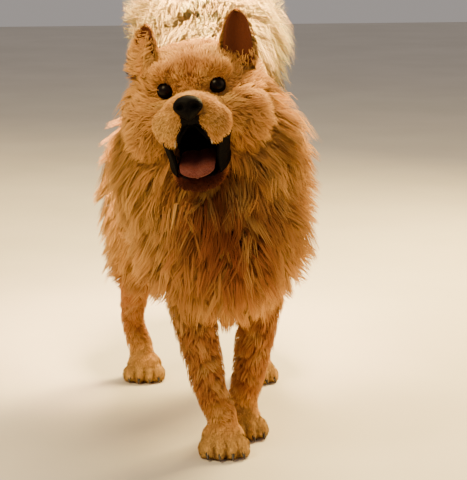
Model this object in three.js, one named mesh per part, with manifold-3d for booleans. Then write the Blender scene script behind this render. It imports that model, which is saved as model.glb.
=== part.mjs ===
// Life-size chow chow, walking towards the viewer with its head raised and its mouth open.
// Millimetres, +Z up. The dog faces -Y, its left side is +X, and its soles rest on z = 0.
import * as THREE from "three";
import { mergeVertices } from "three/addons/utils/BufferGeometryUtils.js";
import Module from "manifold-3d";

const wasm = await Module();
wasm.setup();

// Driving sizes
const GAP = 0.35; // clear space between two nodes that touch
const WITHERS = 455; // top of the shoulders, without the coat
const CHEST_HALF = 92;
const HIP_HALF = 84;
const EYE_SPACING = 68;
const EYE_RADIUS = 11;
const COAT_CORE = 0.45; // share of the coat's depth that the cores fill
const BACK_COAT = 50;
const RUFF_COAT = 78;
const TAIL_COAT = 112;
const THIGH_COAT = 62;
const SOLE_CUT = 2.5; // how far the pads are flattened by the floor

// Where the feet stand, the head's place and how it is turned
const FORE_RIGHT_FOOT = [-20, 8];
const FORE_LEFT_FOOT = [23, 96];
const HIND_RIGHT_FOOT = [-95, 440];
const HIND_LEFT_FOOT = [92, 406];
const HEAD_AT = [-74, -46, 533];
const HEAD_YAW = -11;
const HEAD_PITCH = -14;
const HEAD_ROLL = -7;
const JAW_OPEN = 25;

const rad = THREE.MathUtils.degToRad;
const v3 = (p) => new THREE.Vector3(...p);
const mix = (a, b, t) => a + (b - a) * t;

// A seeded generator of numbers from 0 to 1
function seeded(seed) {
  let s = seed >>> 0;
  return () => {
    s = (Math.imul(s, 1664525) + 1013904223) >>> 0;
    return s / 4294967296;
  };
}

// Joins rings of points into one closed surface. A ring of one point is a tip.
function closedSkin(rings) {
  const points = [];
  const faces = [];
  const starts = rings.map((ring) => {
    const start = points.length / 3;
    ring.forEach((p) => points.push(p.x, p.y, p.z));
    return start;
  });
  const fan = (centre, start, n, flip) => {
    for (let i = 0; i < n; i++) {
      const a = start + i;
      const b = start + ((i + 1) % n);
      faces.push(...(flip ? [centre, b, a] : [centre, a, b]));
    }
  };
  for (let k = 0; k + 1 < rings.length; k++) {
    const n = Math.max(rings[k].length, rings[k + 1].length);
    if (rings[k].length === 1) fan(starts[k], starts[k + 1], n, true);
    else if (rings[k + 1].length === 1) fan(starts[k + 1], starts[k], n, false);
    else
      for (let i = 0; i < n; i++) {
        const j = (i + 1) % n;
        const [a, b] = [starts[k] + i, starts[k] + j];
        const [c, d] = [starts[k + 1] + i, starts[k + 1] + j];
        faces.push(a, b, d, a, d, c);
      }
  }
  const geometry = new THREE.BufferGeometry();
  geometry.setAttribute("position", new THREE.Float32BufferAttribute(points, 3));
  geometry.setIndex(faces);
  return geometry;
}

// A three.js geometry as a manifold-3d solid, whichever way round its faces were
function solid(geometry, matrix) {
  const bare = geometry.clone();
  ["normal", "uv"].forEach((name) => bare.deleteAttribute(name));
  if (matrix) bare.applyMatrix4(matrix);
  const merged = mergeVertices(bare, 1e-4);
  const build = (triVerts) =>
    new wasm.Manifold(
      new wasm.Mesh({
        numProp: 3,
        vertProperties: new Float32Array(merged.attributes.position.array),
        triVerts,
      }),
    );
  const faces = new Uint32Array(merged.index.array);
  const made = build(faces);
  return made.volume() > 0 ? made : build(faces.slice().reverse());
}

const join = (...solids) => wasm.Manifold.union(solids.flat(2));
const COARSEST = 2; // how far the facets of a fused coat may move
const fused = (...solids) => join(...solids).simplify(COARSEST);
const cut = (whole, ...tools) => whole.subtract(join(tools));

// The largest closed surface of a solid
const largest = (whole) =>
  whole.decompose().sort((a, b) => b.volume() - a.volume())[0];

function ellipsoid(at, radii, matrix, grow = 0, detail = [14, 10]) {
  const ball = new THREE.SphereGeometry(1, ...detail);
  const place = new THREE.Matrix4().compose(
    v3(at),
    new THREE.Quaternion(),
    v3(radii.map((r) => r + grow)),
  );
  return solid(ball, matrix ? matrix.clone().multiply(place) : place);
}

// A body form: oval sections along a curved spine. Each station gives the skin's half sizes to the side,
// above and below the spine, and the depth of the coat there.
class Form {
  // stations: [x, y, z, side, above, below, coat]; sideways: which way the first half size points
  constructor(stations, { sideways = [1, 0, 0], caps = [0.12, 0.12], matrix } = {}) {
    this.n = stations.length;
    this.sizes = stations.map((s) => s.slice(3));
    this.spine = new THREE.CatmullRomCurve3(
      stations.map((s) => v3(s.slice(0, 3))),
    );
    this.sideways = v3(sideways);
    this.caps = caps;
    this.matrix = matrix ?? new THREE.Matrix4();
  }

  // A size between stations: 0 side, 1 above, 2 below, 3 coat
  size(t, k) {
    const u = t * (this.n - 1);
    const i = Math.min(Math.floor(u), this.n - 2);
    const at = (j) => this.sizes[THREE.MathUtils.clamp(j, 0, this.n - 1)][k];
    const f = u - i;
    const [a, b, c, d] = [at(i - 1), at(i), at(i + 1), at(i + 2)];
    const bend = 2 * a - 5 * b + 4 * c - d;
    const turn = 3 * b - a - 3 * c + d;
    return 0.5 * (2 * b + (c - a) * f + bend * f * f + turn * f * f * f);
  }

  coat(t) {
    return this.size(t, 3);
  }

  dome(t) {
    const near = (d, c) => (d < c ? Math.sqrt(1 - (1 - d / c) ** 2) : 1);
    return near(t, this.caps[0]) * near(1 - t, this.caps[1]);
  }

  // Angle 0 is the side direction and 90 degrees is above.
  skin(t, angle) {
    const along = this.spine.getTangent(t);
    const side = this.sideways
      .clone()
      .addScaledVector(along, -this.sideways.dot(along))
      .normalize();
    const up = new THREE.Vector3().crossVectors(along, side);
    const s = this.dome(t);
    const h = Math.sin(angle);
    return this.spine
      .getPoint(t)
      .addScaledVector(side, this.size(t, 0) * s * Math.cos(angle))
      .addScaledVector(up, this.size(t, h > 0 ? 1 : 2) * s * h)
      .applyMatrix4(this.matrix);
  }

  normal(t, angle) {
    const e = 0.004;
    const a = this.skin(Math.min(t + e, 1), angle).sub(this.skin(Math.max(t - e, 0), angle));
    const b = this.skin(t, angle + 0.02).sub(this.skin(t, angle - 0.02));
    const n = new THREE.Vector3().crossVectors(b, a).normalize();
    const out = this.skin(t, angle).sub(this.centre(t));
    return n.dot(out) < 0 ? n.negate() : n;
  }

  centre(t) {
    return this.spine.getPoint(t).applyMatrix4(this.matrix);
  }

  along(t) {
    return this.spine.getTangent(t).transformDirection(this.matrix);
  }

  // A point over the skin by a share of the coat's depth, and by a few millimetres more
  point(t, angle, share = 0, grow = 0) {
    const off = this.coat(t) * share + grow;
    return this.skin(t, angle).addScaledVector(this.normal(t, angle), off);
  }

  solid(rings, sides, share = 0, grow = 0) {
    const [c0, c1] = this.caps;
    const domes = [22, 50, 74].map((d) => 1 - Math.cos(rad(d)));
    const inner = Array.from({ length: rings }, (_, i) =>
      mix(c0, 1 - c1, i / (rings - 1)),
    );
    const ts = [
      ...domes.map((d) => d * c0),
      ...inner,
      ...domes.map((d) => 1 - d * c1).reverse(),
    ];
    const ring = (t) =>
      Array.from({ length: sides }, (_, i) =>
        this.point(t, (i / sides) * 2 * Math.PI, share, grow),
      );
    const end = (t, sign) => [
      this.centre(t).addScaledVector(this.along(t), sign * (this.coat(t) * share + grow)),
    ];
    return solid(closedSkin([end(0, -1), ...ts.map(ring), end(1, 1)]));
  }
}

// A flat lock of hair that bends from its sunk root to a pointed tip
function lock(root, middle, tip, out, width) {
  const bend = new THREE.QuadraticBezierCurve3(root, middle, tip);
  const across = new THREE.Vector3().crossVectors(out, tip.clone().sub(root)).normalize();
  const section = (u, share) => {
    const p = bend.getPoint(u);
    const up = new THREE.Vector3().crossVectors(bend.getTangent(u), across).normalize();
    if (up.dot(out) < 0) up.negate();
    const half = (width / 2) * share;
    const edge = (side) =>
      p.clone().addScaledVector(across, side * half).addScaledVector(up, -half * 0.3);
    return [edge(1), p.clone().addScaledVector(up, half * 0.5), edge(-1)];
  };
  return solid(closedSkin([[root], section(0.28, 1), section(0.68, 0.85), [tip]]));
}

// Locks over a form in staggered rows. They lean along the spine, towards the end that flow points to,
// and sink by fall towards the side below, and their tips end on the coat's outline.
function coat(form, seed, options) {
  const { rows, across, length, width, flow = -1, fall = 0.6, reach = 1 } = options;
  const { span = [0.04, 0.96], angles = [-180, 180], root = 0.2 } = options;
  const random = seeded(seed);
  const vary = (amount) => 1 + (random() - 0.5) * 2 * amount;
  const spineLength = form.spine.getLength();
  const locks = [];
  for (let i = 0; i < rows; i++)
    for (let j = 0; j < across; j++) {
      const t = mix(...span, (i + 0.5 + (random() - 0.5) * 0.5) / rows);
      const turn = (j + (i % 2) / 2 + (random() - 0.5) * 0.4) / across;
      const angle = rad(mix(...angles, turn));
      const long = length * vary(0.22);
      const down = fall * Math.cos(angle) + (random() - 0.5) * 0.5;
      const girth = form.size(t, 0) + form.coat(t);
      const endT = THREE.MathUtils.clamp(t + (flow * long) / spineLength, 0.015, 0.985);
      const endAngle = angle - (down * long) / girth;
      const share = reach * vary(0.12);
      const on = (f, depth) => form.point(mix(t, endT, f), mix(angle, endAngle, f), depth);
      locks.push(
        lock(on(0, root), on(0.4, share * 0.86), on(1, share), form.normal(t, angle), width * vary(0.2)),
      );
    }
  return locks;
}

// The trunk, from the buttocks to the point of the chest
const torsoForm = new Form(
  [
    [-8, 478, 366, 46, 56, 62, 46],
    [-8, 440, 362, HIP_HALF, 74, 80, 54],
    [-10, 375, 360, HIP_HALF, 84, 88, 52],
    [-12, 300, 358, 82, 84, 96, BACK_COAT],
    [-14, 220, 350, 86, 92, 108, BACK_COAT],
    [-16, 150, 345, 90, 104, 116, BACK_COAT],
    [-18, 90, 340, CHEST_HALF, WITHERS - 340, 118, BACK_COAT],
    [-20, 38, 335, 86, 104, 104, BACK_COAT],
    [-21, -4, 330, 70, 76, 76, 48],
    [-22, -34, 326, 40, 40, 42, 44],
  ],
  { caps: [0.09, 0.09] },
);

// The neck, from inside the chest up to the back of the skull
const neckForm = new Form(
  [
    [-20, 92, 352, 84, 86, 84, 40],
    [-30, 62, 400, 80, 80, 84, 62],
    [-45, 36, 450, 70, 70, 76, RUFF_COAT],
    [-60, 16, 495, 64, 62, 70, 84],
    [-70, 20, 536, 58, 54, 60, 78],
  ],
  { caps: [0.1, 0.1] },
);

// The tail, from the croup up and forward over the back
const tailForm = new Form(
  [
    [-8, 430, 425, 26, 26, 26, 12],
    [-7, 464, 466, 24, 24, 24, 26],
    [-5, 470, 520, 22, 22, 22, 70],
    [-3, 440, 562, 20, 20, 20, TAIL_COAT],
    [-1, 390, 576, 18, 18, 18, TAIL_COAT],
    [2, 340, 560, 15, 15, 15, TAIL_COAT],
    [4, 312, 530, 10, 10, 10, 90],
  ],
  { caps: [0.05, 0.12] },
);

// A foreleg's spine runs from inside the chest down to the paw, and the first half size is across.
const forelegForm = (top, wrist, toes) =>
  new Form(
    [
      [...top, 30, 34, 34, 10],
      [mix(top[0], wrist[0], 0.42), mix(top[1], wrist[1], 0.42), 176, 23, 27, 30, 10],
      [mix(top[0], wrist[0], 0.75), mix(top[1], wrist[1], 0.75), 128, 20, 22, 25, 9],
      [...wrist, 19, 20, 21, 7],
      [toes[0], toes[1] + 48, 52, 19, 18, 19, 5],
      [toes[0], toes[1] + 44, 26, 20, 18, 18, 3],
    ],
    { caps: [0.1, 0.08] },
  );
const rightForeleg = forelegForm([-66, 80, 250], [-36, 54, 92], FORE_RIGHT_FOOT);
const leftForeleg = forelegForm([48, 104, 250], [29, 128, 92], FORE_LEFT_FOOT);

// A thigh hangs from the hip to above the hock, with its breeches behind.
const thighForm = (side, foot) =>
  new Form(
    [
      [side * 58 - 8, 425, 425, 34, 58, 46, 44],
      [side * 70 - 7, 414 + foot, 356, 42, 72, 62, 50],
      [side * 80 - 6, 408 + foot, 286, 38, 62, 60, 46],
      [side * 90 - 4, 420 + foot, 224, 30, 44, 46, 38],
      [side * 98 - 4, 446 + foot, 172, 24, 28, 30, 24],
    ],
    { caps: [0.14, 0.14] },
  );
const rightThigh = thighForm(-1, 10);
const leftThigh = thighForm(1, -22);

// The lower hind leg, through the hock to the paw
const hindLegForm = (side, [x, y]) =>
  new Form(
    [
      [side * 96 - 4, y - 6, 214, 24, 34, 30, 8],
      [side * 102 - 3, y + 24, 160, 19, 24, 22, 9],
      [side * 106 - 2, y + 46, 118, 15, 20, 20, 7],
      [side * 103 - 2, y + 54, 84, 15, 17, 18, 6],
      [x, y + 50, 50, 17, 17, 18, 5],
      [x, y + 44, 26, 19, 18, 18, 3],
    ],
    { caps: [0.1, 0.08] },
  );
const rightHindLeg = hindLegForm(-1, HIND_RIGHT_FOOT);
const leftHindLeg = hindLegForm(1, HIND_LEFT_FOOT);

// The head's own frame: the origin midway between the eyes, +X its left, -Y forward
const headPlace = new THREE.Matrix4().compose(
  v3(HEAD_AT),
  new THREE.Quaternion().setFromEuler(
    new THREE.Euler(rad(HEAD_PITCH), rad(HEAD_ROLL), rad(HEAD_YAW), "ZYX"),
  ),
  v3([1, 1, 1]),
);
// The jaw turns about its hinge below the ears.
const JAW_HINGE = [0, 58, -52];
const jawPlace = headPlace
  .clone()
  .multiply(new THREE.Matrix4().makeTranslation(...JAW_HINGE))
  .multiply(new THREE.Matrix4().makeRotationX(rad(JAW_OPEN)))
  .multiply(new THREE.Matrix4().makeTranslation(...JAW_HINGE.map((c) => -c)));
const inHead = { matrix: headPlace, caps: [0.16, 0.16] };
const inJaw = { matrix: jawPlace, caps: [0.16, 0.2] };

const craniumForm = new Form(
  [
    [0, 142, -14, 46, 42, 50, 34],
    [0, 112, -6, 60, 52, 60, 38],
    [0, 75, 2, 64, 53, 58, 34],
    [0, 40, 5, 60, 48, 48, 22],
    [0, 14, 3, 50, 37, 36, 15],
    [0, -5, -4, 32, 21, 22, 9],
  ],
  inHead,
);
const muzzleForm = new Form(
  [
    [0, 28, -34, 46, 26, 30, 8],
    [0, -8, -34, 40, 25, 28, 7],
    [0, -42, -36, 37, 22, 26, 5],
    [0, -72, -38, 30, 18, 20, 4],
  ],
  inHead,
);
const palateForm = new Form(
  [
    [0, 34, -70, 20, 14, 20, 0],
    [0, 0, -72, 22, 20, 20, 0],
    [0, -34, -74, 20, 20, 20, 0],
    [0, -84, -78, 13, 19, 20, 0],
  ],
  inHead,
);
const jawForm = new Form(
  [
    [0, 52, -78, 36, 24, 20, 8],
    [0, 12, -86, 35, 16, 17, 7],
    [0, -24, -88, 31, 13, 14, 5],
    [0, -52, -86, 25, 12, 12, 4],
  ],
  inJaw,
);
const troughForm = new Form(
  [
    [0, 40, -64, 22, 16, 12, 0],
    [0, 5, -68, 24, 14, 12, 0],
    [0, -26, -70, 24, 14, 12, 0],
    [0, -47, -70, 19, 14, 9, 0],
  ],
  inJaw,
);
const tongueForm = new Form(
  [
    [0, 38, -70, 18, 8, 8, 0],
    [0, 5, -68, 23, 8, 8, 0],
    [0, -28, -67, 24, 7, 7, 0],
    [0, -48, -69, 23, 6, 6, 0],
    [0, -62, -75, 21, 5, 5, 0],
  ],
  { matrix: jawPlace, caps: [0.12, 0.2] },
);

// Ears: small, thick and rounded, with the cup turned outwards, the right one more
const EARS = {
  left: { swivel: 0.35, spine: [[64, 38, 28], [65, 37, 52], [67, 34, 79], [68, 30, 102]] },
  right: { swivel: -0.9, spine: [[-64, 38, 28], [-63, 37, 51], [-59, 34, 74], [-54, 31, 95]] },
};
const EAR_SIZES = [[21, 12, 12], [19, 10, 11], [14, 8, 9], [7, 5, 5]];
const CUP_SIZES = [[14, 6, 12], [13, 5, 12], [9, 4, 10], [3, 2, 6]];
const earForm = ({ spine, swivel }, sizes, shift) =>
  new Form(
    spine.map(([x, y, z], i) => [x + shift * swivel * 0.7, y - shift, z, ...sizes[i], 3]),
    { matrix: headPlace, sideways: [1, swivel, 0], caps: [0.08, 0.22] },
  );
const earShell = (side, grow = 0) => earForm(EARS[side], EAR_SIZES, 0).solid(4, 10, 1, grow);
const earCup = (side) => earForm(EARS[side], CUP_SIZES, 9).solid(3, 8);

// A convex box for parting the body
function box([x0, y0, z0], [x1, y1, z1]) {
  const geometry = new THREE.BoxGeometry(x1 - x0, y1 - y0, z1 - z0);
  geometry.translate((x0 + x1) / 2, (y0 + y1) / 2, (z0 + z1) / 2);
  return solid(geometry);
}

// A turned solid about the line from base towards tip: pairs of radius and height along it
function turned(base, tip, profile, sides = 28) {
  const shape = new THREE.LatheGeometry(
    profile.map(([r, h]) => new THREE.Vector2(r, h)),
    sides,
  );
  const axis = v3(tip).sub(v3(base)).normalize();
  const turn = new THREE.Quaternion().setFromUnitVectors(v3([0, 1, 0]), axis);
  return solid(shape, new THREE.Matrix4().compose(v3(base), turn, v3([1, 1, 1])));
}

// The seam round the back of the head, which the ruff lies against
const headSeam = (grow) =>
  ellipsoid([0, -42, -22], [130, 112, 128], headPlace, grow, [16, 10]);

// The seam between the ruff and the trunk, sloping back over the shoulders
const RUFF_BASE = [-22, 74, 372];
const RUFF_TOP = [-52, -53, 447];
const ruffSeam = (grow) =>
  turned(RUFF_BASE, RUFF_TOP, [
    [0, -grow],
    [84, -4 - grow],
    [112, -20 - grow],
    [250, -98 - grow],
    [250, 330],
    [0, 330],
  ]);

const TAIL_SEAM = 497; // the plume lies above this height, over the back's coat
const tailSeam = (grow) =>
  join(
    box([-260, 230, TAIL_SEAM - grow], [240, 640, 760]),
    tailForm.solid(8, 12, 0.45, grow),
  );

const PAW_SEAM = 44;
const pawSeam = ([x, y], grow) =>
  box([x - 70, y - 40, -20], [x + 70, y + 110, PAW_SEAM + grow]);

// A paw: the foot's pad, four toes and their claws, cut flat by the floor
function paw([x, y], scale, turn, leg) {
  const place = new THREE.Matrix4()
    .makeTranslation(x, y, -SOLE_CUT)
    .multiply(new THREE.Matrix4().makeRotationZ(rad(turn)))
    .multiply(new THREE.Matrix4().makeScale(scale, scale, scale));
  const toes = [-25, -9, 9, 25].map((tx) => {
    const outer = Math.abs(tx) > 15;
    const ty = outer ? 26 : 18;
    const toe = ellipsoid([tx, ty, 14], [10.5, 19, 14.5], place, 0, [6, 4]);
    const claw = new THREE.ConeGeometry(3, 13, 4);
    claw.rotateX(rad(118));
    claw.translate(tx * 1.03, ty - 19, 9);
    return join(toe, solid(claw, place));
  });
  const pads = ellipsoid([0, 44, 22], [28, 34, 27], place, 0, [8, 6]);
  const whole = fused(toes, pads, leg.solid(3, 8, 1)).intersect(pawSeam([x, y], 0));
  return largest(cut(whole, box([x - 90, y - 60, -60], [x + 90, y + 140, 0])));
}

const solids = {};

// Eyes, nose, jaw, tongue and ears come first, and the head is cut to meet them.
const eyeAt = (side) => [(side * EYE_SPACING) / 2, 6, 0];
const eye = (side, grow = 0) =>
  ellipsoid(eyeAt(side), [EYE_RADIUS, EYE_RADIUS, EYE_RADIUS], headPlace, grow, [10, 7]);
const eyelids = (side) => {
  const slit = new THREE.Matrix4()
    .makeTranslation(side * 35, -7, 0)
    .multiply(new THREE.Matrix4().makeRotationY(side * rad(-8)));
  const opening = ellipsoid([0, 0, 0], [10, 9, 7], headPlace.clone().multiply(slit), 0, [10, 6]);
  return { lids: eye(side, 2.6), opening };
};
solids.left_eye = eye(1);
solids.right_eye = eye(-1);

const NOSE_AT = [0, -73, -37];
const noseBlock = (grow) =>
  join(
    ellipsoid(NOSE_AT, [19, 12, 15], headPlace, grow, [12, 8]),
    ellipsoid([0, -74, -48], [9, 10, 8], headPlace, grow, [8, 6]),
  );
const nostril = (side) =>
  ellipsoid([side * 10, -86, -38], [4.6, 7, 4], headPlace, 0, [6, 4]);
const nostrilSlit = (side) =>
  ellipsoid([side * 17, -80, -37], [6, 6, 2], headPlace, 0, [6, 4]);
const philtrum = box([-0.6, -99, -62], [0.6, -82, -38]).transform(headPlace.elements);
solids.nose = largest(cut(noseBlock(0), nostril(1), nostril(-1), nostrilSlit(1), nostrilSlit(-1), philtrum));

const tooth = (x, y, z, radius, length, matrix) => {
  const cone = new THREE.ConeGeometry(radius, length, 6);
  if (length < 0) cone.rotateX(Math.PI);
  cone.translate(x, y, z);
  return solid(cone, matrix);
};
const lowerTeeth = [
  ...[-1, 1].map((s) => tooth(s * 20, -50, -66, 3.2, 16, jawPlace)),
  ...[-10, -3.5, 3.5, 10].map((x) => tooth(x, -60 + Math.abs(x) * 0.35, -72, 2.4, 8, jawPlace)),
];
solids.tongue = tongueForm.solid(4, 8);
const jawWhole = join(jawForm.solid(4, 12, 1), lowerTeeth);
solids.lower_jaw = largest(cut(jawWhole, troughForm.solid(3, 8), tongueForm.solid(4, 8, 0, GAP)));

const backOfHead = craniumForm.solid(4, 12, 0.5);
for (const side of ["left", "right"])
  solids[side + "_ear"] = largest(cut(earShell(side), earCup(side), backOfHead));
const earSockets = [earShell("left", GAP), earShell("right", GAP)];

// The head: skull, brows, cheeks and muzzle with its flews, and the lids over the eyes
const pair = (make) => [make(1), make(-1)];
const flews = pair((s) => ellipsoid([s * 26, -42, -55], [21, 31, 27], headPlace, 0, [10, 7]));
const cheeks = pair((s) => ellipsoid([s * 48, 34, -38], [38, 46, 44], headPlace, 0, [10, 7]));
const brows = pair((s) => ellipsoid([s * 31, 2, 22], [21, 15, 13], headPlace, 0, [8, 6]));
const lids = pair(eyelids);
const upperTeeth = [-1, 1].map((s) => tooth(s * 21, -52, -70, 3.4, -18, headPlace));
const skull = fused(
  craniumForm.solid(4, 14, 0.6),
  coat(craniumForm, 10, { rows: 3, across: 8, length: 54, width: 40, fall: 0.3, span: [0.12, 0.8] }),
  muzzleForm.solid(4, 12, 1),
  flews,
  cheeks,
  brows,
);
const face = join(
  cut(skull, palateForm.solid(4, 10)),
  cut(join(lids.map((l) => l.lids)), lids.map((l) => l.opening)),
  upperTeeth,
);
solids.head = largest(
  cut(
    face.intersect(headSeam(0)),
    eye(1, GAP),
    eye(-1, GAP),
    lids.map((l) => l.opening),
    noseBlock(GAP),
    earSockets,
    jawForm.solid(4, 12, 1, GAP),
    tongueForm.solid(4, 8, 0, GAP),
  ),
);

// The coat's cores stop short of the tips, and the locks reach them.
const torsoCore = torsoForm.solid(6, 16, COAT_CORE);
const torsoCoat = fused(
  torsoCore,
  coat(torsoForm, 11, { rows: 5, across: 9, length: 100, width: 62 }),
);
const ruffCoat = fused(
  torsoCore,
  neckForm.solid(4, 16, COAT_CORE),
  coat(torsoForm, 12, { rows: 3, across: 7, length: 90, width: 64, span: [0.64, 0.98] }),
  coat(neckForm, 13, { rows: 4, across: 9, length: 106, width: 66, fall: 0.2, span: [0.12, 0.96] }),
);
const thighs = { left: leftThigh, right: rightThigh };
const hindLegs = { left: leftHindLeg, right: rightHindLeg };
const forelegs = { left: leftForeleg, right: rightForeleg };
const hindFeet = { left: HIND_LEFT_FOOT, right: HIND_RIGHT_FOOT };
const foreFeet = { left: FORE_LEFT_FOOT, right: FORE_RIGHT_FOOT };
const sides = ["left", "right"];
const thighSeam = (side, grow) => {
  const half = side === "left" ? [-8 + 42 - grow, 300] : [-300, -8 - 42 + grow];
  const space = box([half[0], 0, 0], [half[1], 700, 700]);
  return thighs[side].solid(4, 12, 1, 12 + grow).intersect(space);
};
const legSocket = Object.fromEntries(
  [...sides.map((s) => ["fore" + s, forelegs[s]]), ...sides.map((s) => ["hind" + s, hindLegs[s]])].map(
    ([name, leg]) => [name, leg.solid(4, 10, 1, GAP)],
  ),
);
const feathering = (leg, seed) =>
  coat(leg, seed, {
    rows: 3, across: 2, length: 56, width: 26, flow: 1, fall: 0, reach: 2.6,
    span: [0.12, 0.62], angles: [-125, -55], root: 0.1,
  });

const tailCoat = fused(
  tailForm.solid(5, 8, COAT_CORE),
  coat(tailForm, 14, {
    rows: 4, across: 6, length: 84, width: 56, flow: 1, fall: 0, root: 0.05, span: [0.3, 0.96],
  }),
);
solids.tail = largest(tailCoat.intersect(tailSeam(0)));

for (const side of sides) {
  const flip = side === "left";
  const breeches = coat(thighs[side], flip ? 15 : 16, {
    rows: 4, across: 4, length: 88, width: 66, flow: 1, fall: 0.35, angles: flip ? [-120, 90] : [-270, -60],
  });
  const rump = fused(thighs[side].solid(4, 12, COAT_CORE), breeches, torsoCore);
  solids[side + "_thigh"] = largest(
    cut(rump.intersect(thighSeam(side, 0)), tailSeam(GAP), ruffSeam(GAP), legSocket["hind" + side]),
  );
  const foreleg = fused(forelegs[side].solid(4, 10, 1), feathering(forelegs[side], flip ? 17 : 18));
  const hindLeg = fused(hindLegs[side].solid(4, 10, 1), feathering(hindLegs[side], flip ? 19 : 20));
  solids[side + "_foreleg"] = largest(cut(foreleg, pawSeam(foreFeet[side], GAP)));
  solids[side + "_hind_leg"] = largest(
    cut(hindLeg, pawSeam(hindFeet[side], GAP), thighSeam(side, 0).subtract(legSocket["hind" + side])),
  );
  solids[side + "_forepaw"] = paw(foreFeet[side], 1, flip ? 4 : -2, forelegs[side]);
  solids[side + "_hindpaw"] = paw(hindFeet[side], 0.93, flip ? 6 : -6, hindLegs[side]);
}

solids.neck_ruff = largest(
  cut(
    ruffCoat.intersect(ruffSeam(0)),
    headSeam(GAP),
    earSockets,
    jawForm.solid(4, 12, 1, GAP),
    legSocket.foreleft,
    legSocket.foreright,
  ),
);
solids.torso = largest(
  cut(
    torsoCoat,
    ruffSeam(GAP),
    tailSeam(GAP),
    sides.map((side) => thighSeam(side, GAP)),
    Object.values(legSocket),
  ),
);
for (const side of sides)
  solids[side + "_foreleg"] = largest(
    cut(solids[side + "_foreleg"], [solids.torso, solids.neck_ruff].map((s) => s)),
  );

// Materials, by the finish of each sub-part
const finish = (color, roughness, metalness = 0) =>
  new THREE.MeshStandardMaterial({ color, roughness, metalness });
const MATERIALS = {
  golden_coat: finish("#c08a4e", 0.9),
  cream_coat: finish("#ead0a2", 0.9),
  ear: finish("#8a4f2c", 0.9),
  nose_leather: finish("#17100f", 0.4),
  eye: finish("#120b09", 0.08),
  tongue: finish("#8d4a52", 0.4),
};
const slotOf = (name) => {
  if (name.endsWith("ear")) return "ear";
  if (name.endsWith("eye")) return "eye";
  if (name === "nose") return "nose_leather";
  if (name === "tongue") return "tongue";
  return name === "tail" ? "cream_coat" : "golden_coat";
};

// Each node's own origin is the middle of its box, and the mesh is set at that place.
function node(name, raw) {
  const made = raw.simplify(0.08);
  const { vertProperties, triVerts } = made.getMesh();
  const geometry = new THREE.BufferGeometry();
  geometry.setAttribute("position", new THREE.Float32BufferAttribute(vertProperties, 3));
  geometry.setIndex(new THREE.BufferAttribute(triVerts, 1));
  geometry.computeBoundingBox();
  const middle = geometry.boundingBox.getCenter(new THREE.Vector3());
  geometry.translate(-middle.x, -middle.y, -middle.z);
  const mesh = new THREE.Mesh(geometry, MATERIALS[slotOf(name)]);
  mesh.name = name;
  mesh.position.copy(middle);
  return mesh;
}

const dog = new THREE.Group();
dog.name = "chow_chow";
for (const [name, made] of Object.entries(solids)) dog.add(node(name, made));

// The origin is on the floor, under the middle of the dog's box.
const extent = new THREE.Box3().setFromObject(dog);
const centre = extent.getCenter(new THREE.Vector3());
dog.position.set(-centre.x, -centre.y, -extent.min.z);

export default dog;
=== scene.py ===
"""A chow chow walking towards the camera: one skin, its face, paws and claws, and a coat of tufts.

Lengths are millimetres in the dog's own frame, which faces -Y with its left side at +X, and
every point goes through placed() on its way into a mesh, which turns it to metres in the part's frame."""
import math
import bmesh
import bpy
import numpy as np
from mathutils import Matrix, Vector, bvhtree, kdtree


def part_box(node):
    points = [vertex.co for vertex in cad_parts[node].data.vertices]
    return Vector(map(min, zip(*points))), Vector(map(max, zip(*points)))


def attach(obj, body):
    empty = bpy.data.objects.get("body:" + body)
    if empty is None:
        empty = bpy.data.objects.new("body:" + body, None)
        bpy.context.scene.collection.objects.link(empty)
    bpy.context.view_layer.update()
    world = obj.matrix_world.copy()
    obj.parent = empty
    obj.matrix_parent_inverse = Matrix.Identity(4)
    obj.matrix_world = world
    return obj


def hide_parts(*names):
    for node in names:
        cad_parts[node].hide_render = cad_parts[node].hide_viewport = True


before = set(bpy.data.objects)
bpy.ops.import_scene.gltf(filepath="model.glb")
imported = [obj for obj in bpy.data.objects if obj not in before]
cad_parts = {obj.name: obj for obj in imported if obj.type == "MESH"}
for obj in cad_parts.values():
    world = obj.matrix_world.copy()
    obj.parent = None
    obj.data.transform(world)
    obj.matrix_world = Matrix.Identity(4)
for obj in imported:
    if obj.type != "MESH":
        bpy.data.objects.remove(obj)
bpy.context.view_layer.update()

random = np.random.default_rng(7)

# Where the feet stand, the head's place and how it is turned, as in the solids
FORE_FOOT = {"right": (-20, 8), "left": (23, 96)}
HIND_FOOT = {"right": (-95, 440), "left": (92, 406)}
HEAD_AT = (-74, -46, 533)
HEAD_YAW, HEAD_PITCH, HEAD_ROLL = -11, -14, -7
JAW_HINGE = (0, 58, -52)
JAW_OPEN = 25
EYE_RADIUS = 11
EYE_AT = {"left": (34, 6, 0), "right": (-34, 6, 0)}
SIDES = {"left": 1, "right": -1}
# The middle of each toe, across the paw and along it
TOES = ((-25, 26), (-9, 18), (9, 18), (25, 26))
# How far the paws are sunk, so that the floor cuts their soles flat
SOLE_CUT = 2.5
# The coat's depth on the plume and on the ruff
TAIL_COAT = 112
RUFF_COAT = 78
# The voxel, in metres, of the mesh that joins the forms into one skin
VOXEL = 0.0034
# No hair grows nearer than this to the walls carved for the mouth
MOUTH_MARGIN = 5
# How many tufts each layer has, and about how many triangles a piece of coat may have
UNDERCOAT_TUFTS, COAT_TUFTS, WISPS, EAR_TUFTS = 46000, 100000, 700, 3600
MOST_TRIANGLES = 190000
# Where a tuft's rings stand from its root to its tip, for the short hair and for the long
SHORT_RINGS, LONG_RINGS = (0.0, 0.45), (0.0, 0.34, 0.7)


def turn(axis, degrees):
    """A rotation about one axis."""
    return Matrix.Rotation(math.radians(degrees), 4, axis)


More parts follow.
